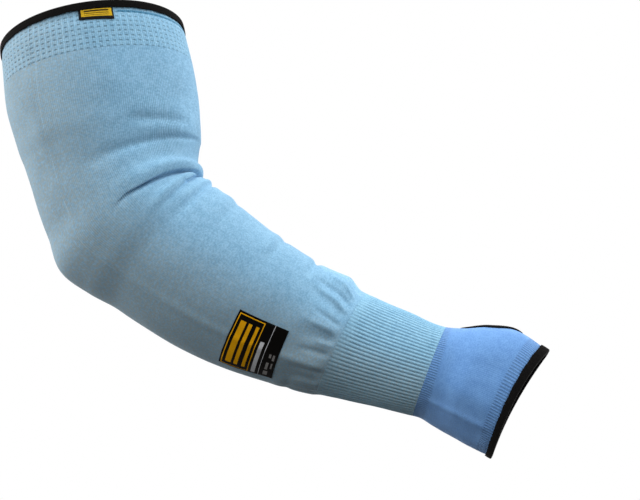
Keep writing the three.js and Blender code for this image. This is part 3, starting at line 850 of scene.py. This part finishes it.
def jersey_material():
    nodes = Finish("jersey_knit")
    u, v = nodes.uv()
    knit = stitches(nodes, u, v)
    above = 1 - nodes.ramp(v, *LOOSE_UNTIL)
    opened = above * (nodes.clouds(*PATCHES) * LOOSE_PATCHES + LOOSE_ABOVE) + LOOSE_EVERYWHERE
    gap = (1 - knit) * opened
    # A painted highlight along the pressed crease, in patches
    press_highlight = press_line(nodes, u, v, 0.0, PRESS_LINE_END) * nodes.clouds(*PRESS_HIGHLIGHT_PATCHES)
    forearm = nodes.ramp(v, *FOREARM_FROM) * (1 - nodes.ramp(v, *FOREARM_TO)) * FOREARM_SHADE
    shade = JERSEY_LIGHTNESS - forearm - gap * GAP_SHADE + press_highlight * PRESS_LINE_LIGHT
    nodes.bump(knit * opened, KNIT_BUMP)
    return nodes.done(nodes.shaded(heather(nodes, u, v, "jersey"), shade), CLOTH)


def welt_material():
    nodes = Finish("open_knit")
    u, v = nodes.uv()
    knit = stitches(nodes, u, v)
    across = from_middle(nodes, u, PIT_COUNT)
    along = from_middle(nodes, v, SLEEVE_LENGTH / PIT_PITCH)
    pit = (1 - nodes.ramp(across, *PIT_WIDE)) * (1 - nodes.ramp(along, *PIT_HIGH))
    dash = DASH_DEPTH - nodes.ramp(along, *DASH_HIGH) * DASH_DEPTH
    pit = nodes.calc("MAXIMUM", pit, press_line(nodes, u, v, TOP_COVER / SLEEVE_LENGTH, 1.0) * dash)
    ridge = nodes.ramp(across, *RIDGE_WIDE) * RIDGE_LIGHT
    darkness = nodes.ramp(u, *PIT_DARKER_ROUND) * PIT_SHADE_MORE + PIT_SHADE
    shade = knit * OPEN_KNIT_LIGHT + OPEN_LIGHTNESS - pit * darkness + ridge
    colour = nodes.shaded(heather(nodes, u, v, "open"), shade)
    # The teal seam line under the top binding: stitching, darkened with painted shadow where the fabric
    # gathers
    low, high = SEAM_SHADOW_ALONG
    seam_and_shadow = bars(nodes, u, v, [(*SEAM_SHADOW_ROUND, low / SLEEVE_LENGTH, high / SLEEVE_LENGTH)])
    colour = nodes.mix(seam_and_shadow * SEAM_SHADOW_STRENGTH, colour, linear(SEAM_SHADOW_COLOUR))
    nodes.bump(knit * OPEN_KNIT_BUMP - pit, KNIT_BUMP)
    return nodes.done(colour, CLOTH)


def rib_material():
    nodes = Finish("rib_knit")
    u, v = nodes.uv()
    knit = stitches(nodes, u, v, RIB_COUNT, RIB_COURSES, RIB_SLOPE)
    edge = nodes.calc("COSINE", u * TURN + math.radians(SEAM_ANGLE)) * RIB_SKEW + RIB_START
    ragged = nodes.noise(nodes.vector(u * RAGGED_COUNT), *RAGGED_NOISE)
    started = nodes.ramp(v * SLEEVE_LENGTH - edge - ragged * RAGGED_DEPTH, *GROOVE_START)
    groove = nodes.ramp(from_middle(nodes, u, RIB_COUNT), *GROOVE_WIDE) * started
    shade = knit * RIB_KNIT_LIGHT + RIB_LIGHTNESS - groove * GROOVE_SHADE
    nodes.bump(knit, RIB_BUMP)
    return nodes.done(nodes.shaded(heather(nodes, u, v, "rib"), shade), RIB_CLOTH)


def cuff_material():
    nodes = Finish("cuff_knit")
    u, v = nodes.uv()
    knit = stitches(nodes, u, v, CUFF_WALES, CUFF_COURSES)
    stroke = nodes.ramp(from_middle(nodes, u, STROKE_COUNT), *STROKE_WIDE)
    near_rim = nodes.ramp(v, *[1 - (HAND_COVER + reach) / SLEEVE_LENGTH for reach in STROKES_FROM_RIM])
    near_ribs = 1 - nodes.ramp(v, *[(RIB_END + reach) / SLEEVE_LENGTH for reach in STROKES_FROM_RIBS])
    strokes = stroke * nodes.calc("MAXIMUM", near_rim, near_ribs)
    shade = knit * CUFF_KNIT_LIGHT + CUFF_LIGHTNESS - strokes * STROKE_SHADE
    nodes.bump(knit * CUFF_KNIT_BUMP - strokes, CUFF_BUMP)
    colour = heather(nodes, u, v, "cuff", CUFF_WALES, CUFF_COURSES)
    return nodes.done(nodes.shaded(colour, shade), CUFF_CLOTH)


def binding_material():
    nodes = Finish("overlock_thread")
    fuzz = nodes.noise(nodes.place(), *FUZZ)
    nodes.bump(fuzz, FUZZ_BUMP)
    colour = nodes.mix(nodes.ramp(fuzz, *FUZZ_TURN), linear(THREAD_DARK), linear(THREAD_PALE))
    return nodes.done(colour, THREAD)


def label_material():
    nodes = Finish("woven_label")
    u, v = nodes.uv()
    warp, weft = LABEL_THREADS
    weave = nodes.calc("SINE", u * (TURN * warp)) * nodes.calc("SINE", v * (TURN * weft))
    marks = bars(nodes, u, v, [LABEL_FIELD]) - bars(nodes, u, v, LABEL_BARS)
    gold = nodes.shaded(linear(LABEL_GOLD), weave * THREAD_LIGHT + (1 - THREAD_LIGHT))
    nodes.bump(weave + marks * RAISED_MARKS, LABEL_BUMP)
    return nodes.done(nodes.mix(marks, linear(LABEL_BLACK), gold), WOVEN)


def patch_material():
    nodes = Finish("printed_patch")
    u, v = nodes.uv()
    grain = nodes.noise(nodes.place(), *GRAIN)
    left, right, low, high = PATCH_FRAME
    beside, over = PATCH_FRAME_BAND
    inner = (left + beside, right - beside, low + over, high - over)
    border = bars(nodes, u, v, [PATCH_FRAME]) - bars(nodes, u, v, [inner])
    golden = nodes.calc("MAXIMUM", border, bars(nodes, u, v, PATCH_BARS))
    colour = nodes.mix(golden, linear(PATCH_BLACK), linear(PATCH_GOLD))
    colour = nodes.mix(bars(nodes, u, v, PATCH_STRIPES), colour, linear(PATCH_SILVER))
    colour = nodes.mix(bars(nodes, u, v, PATCH_MARKS), colour, linear(PATCH_GREY))
    nodes.bump(grain, GRAIN_BUMP)
    return nodes.done(nodes.shaded(colour, grain * GRAIN_SHARE + 2 * GRAIN_SHARE), PRINTED)


# Pieces: the steps of each grid round the arm, along its outer face and along its inner face
WELT_GRID = (300, 34, 10)
ARM_GRID = (248, 330, 44)
RIB_STEPS = 10
RIB_GRID = (RIB_COUNT * RIB_STEPS, 52, 6)
HAND_BESIDE_HOLE = (40, 30)
HAND_PLAIN_STEPS = 150
HAND_ROWS_BEFORE = 9
HAND_ROWS_AFTER = 12
LABEL_GRID = (52, 22)
PATCH_GRID = (72, 56)
TOP_STEPS = 1480
HAND_STEPS = 840
THUMB_STEPS = 460

# The arm's rows crowd together round the creases
CREASE_MIDDLE = 0.70
CREASE_CROWDING = 2.6
CREASE_REACH = 17.0

# A rib's roundness, its share of relief at the ends, how fast it fades in and out, and its ragged start
RIB_ROUNDNESS = 5
RIB_AT_EDGE = 0.2
RIB_FADES = (7, 20)
RAGGED_WAVES = (2.1, 0.37)

# The thread round an edge: wraps a step, swell of each wrap in mm, and unevenness as height, wave and phase
WRAP_STEPS = 4
WRAP_WANDER = (0.4, 0.37)
WRAP_SWELL = 0.16
WRAP_UNEVENNESS = ((0.3, 0.11, 0.0), (0.2, 0.53, 1.0))
WRAP_FRAY = (0.35, 0.5)
TAPERED_SWELL = 0.6
ROUND_ARC = np.linspace(0, math.pi / 2, 5)[1:-1]

# Plates on the fabric: foot and thickness in mm, and how a plate's rim thins
LABEL_LIFT = (0.3, 0.7)
PATCH_LIFT = (0.12, 0.4)
RIM_STEPS = 3
RIM_SHARE = 0.45


def face(stations, angles, lift=0.0, rolled=True):
    """A face of a knit tube: its points, and their places round and along the sleeve as shares."""
    stations, angles, lift = np.broadcast_arrays(stations, angles, lift)
    share = np.broadcast_to(np.linspace(0, 1, angles.shape[1]), angles.shape)
    points = fabric(stations[:, :-1], angles[:, :-1], lift[:, :-1], rolled)
    return points, np.stack([share, stations / SLEEVE_LENGTH], axis=-1)


def welt_mesh():
    columns, *rows = WELT_GRID
    angles = even_angles(WELT_LENGTH / 2, columns)[None, :]
    front, back = [np.linspace(0.0, WELT_LENGTH - JOIN_GAP, count)[:, None] for count in rows]
    return tube("open_knit_band", face(front, angles), face(back, angles, -WELT_WALL))


def arm_mesh():
    columns, *rows = ARM_GRID
    first, last = WELT_LENGTH + JOIN_GAP, RIB_START - JOIN_GAP
    angles = even_angles(UPPER_LENGTH, columns)[None, :]
    crease_middle = station_of("elbow", CREASE_MIDDLE)

    def closeness(along):
        return 1 + CREASE_CROWDING * bell((first + along * (last - first) - crease_middle) / CREASE_REACH)

    reach = rib_edge(last, angles) - first
    front, back = [first + crowded(count, closeness)[:, None] * reach for count in rows]
    return tube("arm_knit", face(front, angles), face(back, angles, -JERSEY_WALL, rolled=False))


def rib_mesh():
    columns, *rows = RIB_GRID
    first, last = RIB_START + JOIN_GAP, RIB_END - JOIN_GAP
    angles = even_angles((first + last) / 2, columns)[None, :]
    across = np.arange(columns + 1)[None, :] / RIB_STEPS
    profile = 0.5 - np.abs(np.cos(np.pi * across)) ** RIB_ROUNDNESS
    first_wave, second_wave = RAGGED_WAVES
    rib = np.floor(across)
    late = RIB_RAGGED * (1 + np.sin(first_wave * rib) * np.sin(second_wave * rib))
    front, back = [np.linspace(0, 1, count)[:, None] for count in rows]
    fade_in, fade_out = RIB_FADES
    ends = smooth((front - late) * fade_in) * smooth((1 - front) * fade_out)
    relief = RIB_RELIEF * profile * (RIB_AT_EDGE + (1 - RIB_AT_EDGE) * ends)
    front, back = [rib_edge(first + along * (last - first), angles) for along in (front, back)]
    return tube("ribbed_wrist", face(front, angles, relief), face(back, angles, RIB_RELIEF / 2 - RIB_WALL))


class ThumbHole:
    """Where the thumb hole lies, and how grid lines bend round it."""

    first = START["hand"] + WRIST_STRIP
    last = first + THUMB_HOLE_LENGTH
    middle = (first + last) / 2
    low = walk_round(middle, THUMB_HOLE_ANGLE, -THUMB_HOLE_WIDTH / 2)
    high = walk_round(middle, THUMB_HOLE_ANGLE, THUMB_HOLE_WIDTH / 2)
    centre = (low + high) / 2
    half_length = THUMB_HOLE_LENGTH / 2
    half_span = (high - low) / 2
    half_width = THUMB_HOLE_WIDTH / 2
    cover_span = half_span * THUMB_COVER / half_width

    @classmethod
    def rounded(cls, station, angle):
        """Grid lines bend round the hole so that its square outline becomes an ellipse."""
        along = (station - cls.middle) / cls.half_length
        around = (angle - cls.centre) / cls.half_span
        square = np.maximum(np.maximum(np.abs(along), np.abs(around)), TINY)
        strip = np.where(along < 0, WRIST_STRIP, RIM_STRIP - HAND_COVER)
        past_end = np.abs(station - cls.middle) - cls.half_length - THUMB_COVER
        past_side = np.abs(angle - cls.centre) - cls.half_span - cls.cover_span
        pull = (1 - smooth(past_end / (strip - THUMB_COVER))) * (1 - smooth(past_side / cls.half_span))
        scale = 1 - pull * (1 - square / np.maximum(np.hypot(along, around), TINY))
        return cls.middle + along * cls.half_length * scale, cls.centre + around * cls.half_span * scale


def hand_mesh():
    hole = ThumbHole
    hole_columns, hole_rows = HAND_BESIDE_HOLE
    side = np.linspace(hole.low, hole.high, hole_columns + 1)
    margin = hole.cover_span / 2
    plain = np.linspace(hole.high + margin, hole.low + 360 - margin, HAND_PLAIN_STEPS)
    angles = np.concatenate([side, plain])
    before = np.linspace(RIB_END + JOIN_GAP, hole.first - THUMB_COVER / 2, HAND_ROWS_BEFORE)
    beside = np.linspace(hole.first, hole.last, hole_rows + 1)
    after = np.linspace(hole.last + THUMB_COVER / 2, SLEEVE_LENGTH, HAND_ROWS_AFTER)
    stations = np.concatenate([before, beside, after])
    closed = np.concatenate([angles, [angles[0] + 360]])
    row, turn = np.meshgrid(stations, closed, indexing="ij")
    unwound = np.where(turn > hole.centre + 180, turn - 360, turn)
    station, angle = hole.rounded(row, unwound)
    skewed = rib_edge(RIB_END, angle) - RIB_END
    station = station + skewed * (1 - smooth((station - RIB_END) / WRIST_STRIP))
    angle = np.where(turn > hole.centre + 180, angle + 360, angle)
    uv = np.stack([(angle - angles[0]) / 360.0, station / SLEEVE_LENGTH], axis=-1)
    solid = np.ones((len(stations) - 1, len(angles)), bool)
    solid[len(before):len(before) + hole_rows, :hole_columns] = False
    outer = fabric(station[:, :-1], angle[:, :-1])
    inner = fabric(station[:, :-1], angle[:, :-1], -JERSEY_WALL)
    return wall("hand_knit", outer, inner, uv, solid, ring=True, sharp_degrees=SHARP_KNIT)


def edge_section(wall_thickness, cover, band, gap):
    """The U section round an edge, point by point: how far beyond the edge it lies, its lift, and how
    much it swells outwards and frays away from the edge with the wraps."""
    top = gap
    bottom = -wall_thickness - gap
    thin = band * BAND_TAPER
    rows = [
        (-cover, top, 0, 1),
        (gap, top, 0, 0),
        (gap, bottom, 0, 0),
        (-cover, bottom, 0, 1),
        (-cover, bottom - thin, -TAPERED_SWELL, 1),
        (-cover / 2, bottom - band, -1, 0),
        (gap, bottom - band, -1, 0),
    ]
    rows += [(gap + band * math.sin(t), bottom - band * math.cos(t), -1, 0) for t in ROUND_ARC]
    rows += [(gap + band, bottom, 0, 0), (gap + band, top, 0, 0)]
    rows += [(gap + band * math.sin(t), top + band * math.cos(t), 1, 0) for t in ROUND_ARC[::-1]]
    rows += [(gap, top + band, 1, 0), (-cover / 2, top + band, 1, 0)]
    rows += [(-cover, top + thin, TAPERED_SWELL, 1)]
    return np.array(rows, float).T[:, None, :]


def wrapped_edge(name, steps_round, section, place):
    """Overlock thread wrapped round a fabric edge: a U section whose skin swells with each wrap."""
    steps = np.arange(steps_round)
    wander, wave = WRAP_WANDER
    wrap = np.abs(np.sin(np.pi * steps / WRAP_STEPS + wander * np.sin(steps * wave)))[:, None]
    uneven = sum(height * np.sin(steps * wave + phase)[:, None] for height, wave, phase in WRAP_UNEVENNESS)
    beyond, lift, fat, edge = section
    by_wrap, by_unevenness = WRAP_FRAY
    beyond = beyond - edge * (by_wrap * wrap + by_unevenness * uneven)
    lift = lift + fat * WRAP_SWELL * wrap
    points = place(beyond, lift)
    sections = points.shape[1]
    faces, corners = grid_faces(steps_round + 1, sections)
    faces = np.mod(faces, steps_round * sections)
    uv = np.stack([corners[..., 1] / sections, corners[..., 0] / steps_round], axis=-1).astype(float)
    return build_mesh(name, points.reshape(-1, 3), faces, uv, SHARP_TRIM)


def binding_meshes():
    """Thread round the upper opening, the hand opening and the thumb hole."""
    hole = ThumbHole
    top_angles = even_angles(TOP_COVER, TOP_STEPS)[:-1, None]
    hand_angles = even_angles(SLEEVE_LENGTH, HAND_STEPS)[:-1, None]
    turn = np.linspace(0, TURN, THUMB_STEPS, endpoint=False)[:, None]

    def top_place(beyond, lift):
        return fabric(-beyond, top_angles, lift)

    def hand_place(beyond, lift):
        return fabric(SLEEVE_LENGTH + beyond, hand_angles, lift)

    def thumb_place(beyond, lift):
        along = hole.half_length * np.sin(turn) * (1 - beyond / hole.half_length)
        around = hole.half_span * np.cos(turn) * (1 - beyond / hole.half_width)
        return fabric(hole.middle + along, hole.centre + around, lift)

    top = edge_section(WELT_WALL, TOP_COVER, *EDGE_BAND)
    hand = edge_section(JERSEY_WALL, HAND_COVER, *EDGE_BAND)
    thumb = edge_section(JERSEY_WALL, THUMB_COVER, *THUMB_BAND)
    return (
        wrapped_edge("top_bound_edge", TOP_STEPS, top, top_place),
        wrapped_edge("hand_bound_edge", HAND_STEPS, hand, hand_place),
        wrapped_edge("thumb_bound_edge", THUMB_STEPS, thumb, thumb_place),
    )


def plate(name, start, size, angle, measured_at, grid, lifts, tilt=0.0):
    """A thin plate on the fabric, as wide as its size says at a distance from its start; its UV runs from
    0 to 1 across and along."""
    length, width = size
    columns, rows = grid
    foot, thickness = lifts
    first, last = [walk_round(start + measured_at, angle, side * width / 2) for side in (-1, 1)]
    angles = np.linspace(first, last, columns)[None, :]
    across = np.linspace(0, 1, columns)[None, :]
    along = np.linspace(0, 1, rows)[:, None]
    uv = np.stack(np.broadcast_arrays(across, along), axis=-1)
    to_sides = np.minimum(across, 1 - across) * columns / RIM_STEPS
    rim = np.minimum(to_sides, np.minimum(along, 1 - along) * rows / RIM_STEPS)
    top = foot + thickness * (RIM_SHARE + (1 - RIM_SHARE) * smooth(rim))
    stations = np.linspace(start, start + length, rows)[:, None] + tilt * (0.5 - across) * along
    solid = np.ones((rows - 1, columns - 1), bool)
    outer, inner = [fabric(stations, angles, lift) for lift in (top, foot)]
    return wall(name, outer, inner, uv, solid, ring=False, sharp_degrees=SHARP_TRIM)


def label_mesh():
    size = (LABEL_LENGTH, LABEL_WIDTH)
    return plate("woven_label", LABEL_START, size, LABEL_ANGLE, 0, LABEL_GRID, LABEL_LIFT, LABEL_TILT)


def patch_mesh():
    start = RIB_START - PATCH_TO_RIB - PATCH_LENGTH
    size = (PATCH_LENGTH, PATCH_WIDTH)
    return plate("printed_patch", start, size, PATCH_ANGLE, PATCH_LENGTH / 2, PATCH_GRID, PATCH_LIFT)


# Camera: the millimetres to a pixel, its place in mm and degrees, and the pixel that shows the origin
PIXEL = 0.74
CAMERA_DISTANCE = 2200.0
CAMERA_ELEVATION = -15.0
PICTURE_WIDTH = 640
PICTURE_HEIGHT = 500
ORIGIN_PIXEL = (93, 40)
SENSOR_WIDTH = 36.0
CLIP_END = 50.0

# Floor
FLOOR_DEPTH = -950.0
FLOOR_HALF = 6000.0
FLOOR_TONES = ((226, 226, 226), (232, 232, 232))
FLOOR_SURFACE = {"Roughness": 0.9, "Specular IOR Level": 0.3}
FLOOR_CLOUDS = (3.0, 2.0)

# The room: how bright each part of it is, and the headings between which that part starts
ROOM_LIGHT = 1.25
SIDE_LIGHT = 1.8
TOP_LIGHT = 0.75
LOW_LIGHT = 0.04
LEFT_LIGHT = 1.55
LEFT_HEADING = (-0.86, -0.516)
FRONT_DIMMING = 0.58
ABOVE = (-0.55, 0.45)
OVERHEAD = (0.4, 1.0)
BESIDE = (0.3, 0.9)
LEFTWARDS = (0.3, 0.95)
FRONTWARDS = (0.5, 0.9)

# Key light
KEY_PLACE = (0.9, -0.9, 1.6)
KEY_TARGET = (0.12, 0.0, -0.15)
KEY_SIZE = 0.7
KEY_WATTS = 6


def build_floor():
    mesh = bpy.data.meshes.new("floor")
    half = FLOOR_HALF * METRES
    height = FLOOR_DEPTH * METRES
    corners = [(-half, -half, height), (half, -half, height), (half, half, height), (-half, half, height)]
    mesh.from_pydata(corners, [], [(0, 1, 2, 3)])
    floor = bpy.data.objects.new("floor", mesh)
    scene.collection.objects.link(floor)
    nodes = Finish("pale_floor")
    shade = nodes.noise(nodes.place(), *FLOOR_CLOUDS)
    low, high = FLOOR_TONES
    mesh.materials.append(nodes.done(nodes.mix(shade, linear(low), linear(high)), FLOOR_SURFACE))
    floor.visible_diffuse = False


def build_world():
    """Soft boxes at both sides and above, a weaker front and little from below, on a white ground."""
    world = bpy.data.worlds.new("soft_studio")
    scene.world = world
    world.use_nodes = True
    nodes = Nodes(world.node_tree)
    nodes.tree.nodes.clear()
    x, y, z = nodes.split(nodes.place("Generated"))
    overhead = nodes.ramp(z, *OVERHEAD) * TOP_LIGHT
    sides = nodes.ramp(nodes.calc("ABSOLUTE", x), *BESIDE) * SIDE_LIGHT
    left_x, left_y = LEFT_HEADING
    left = nodes.ramp(x * left_x + y * left_y, *LEFTWARDS) * LEFT_LIGHT
    front = nodes.ramp(y * -1.0, *FRONTWARDS)
    boxes = (left + ROOM_LIGHT + overhead + sides) * nodes.ramp(z, *ABOVE)
    soft = nodes.new("Background", [("Strength", (boxes + LOW_LIGHT) * (1 - front * FRONT_DIMMING))])
    white = nodes.new("Background", [("Color", (1, 1, 1, 1))])
    seen = nodes.new("LightPath", output="Is Camera Ray")
    nodes.new("OutputWorld", [("Surface", nodes.new("MixShader", enumerate((seen, soft, white))))])


def build_key_light():
    data = bpy.data.lights.new("key", "AREA")
    data.shape = "DISK"
    data.size = KEY_SIZE
    data.energy = KEY_WATTS
    light = bpy.data.objects.new("key", data)
    light.location = KEY_PLACE
    light.rotation_euler = (Vector(KEY_TARGET) - Vector(KEY_PLACE)).to_track_quat("-Z", "Y").to_euler()
    scene.collection.objects.link(light)


def build_camera():
    lean = math.radians(CAMERA_ELEVATION)
    back = Vector((0, -math.cos(lean), math.sin(lean)))
    right = Vector((1, 0, 0))
    up = back.cross(right)
    aside = (PICTURE_WIDTH / 2 - ORIGIN_PIXEL[0]) * PIXEL
    below = (PICTURE_HEIGHT / 2 - ORIGIN_PIXEL[1]) * PIXEL
    target = right * aside - up * below
    data = bpy.data.cameras.new("photo_camera")
    data.sensor_width = SENSOR_WIDTH
    data.lens = SENSOR_WIDTH * CAMERA_DISTANCE / (PICTURE_WIDTH * PIXEL)
    data.clip_end = CLIP_END
    camera = bpy.data.objects.new("photo_camera", data)
    turn = Matrix((right, up, back)).transposed().to_4x4()
    camera.matrix_world = Matrix.Translation((target + back * CAMERA_DISTANCE) * METRES) @ turn
    scene.collection.objects.link(camera)
    scene.camera = camera


welt = add_piece(welt_mesh(), welt_material(), "eyelet_welt")
arm = add_piece(arm_mesh(), jersey_material(), "arm_tube")
ribs = add_piece(rib_mesh(), rib_material(), "rib_cuff")
hand = add_piece(hand_mesh(), cuff_material(), "hand_cuff")
thread = binding_material()
top_bound, hand_bound, thumb_bound = binding_meshes()
top_edge = add_piece(top_bound, thread, "top_binding")
hand_edge = add_piece(hand_bound, thread, "hand_binding")
thumb_edge = add_piece(thumb_bound, thread, "thumb_binding")
label = add_piece(label_mesh(), label_material(), "edge_label")
patch = add_piece(patch_mesh(), patch_material(), "forearm_patch")
build_floor()
build_world()
build_key_light()
build_camera()
scene.view_settings.view_transform = "Standard"
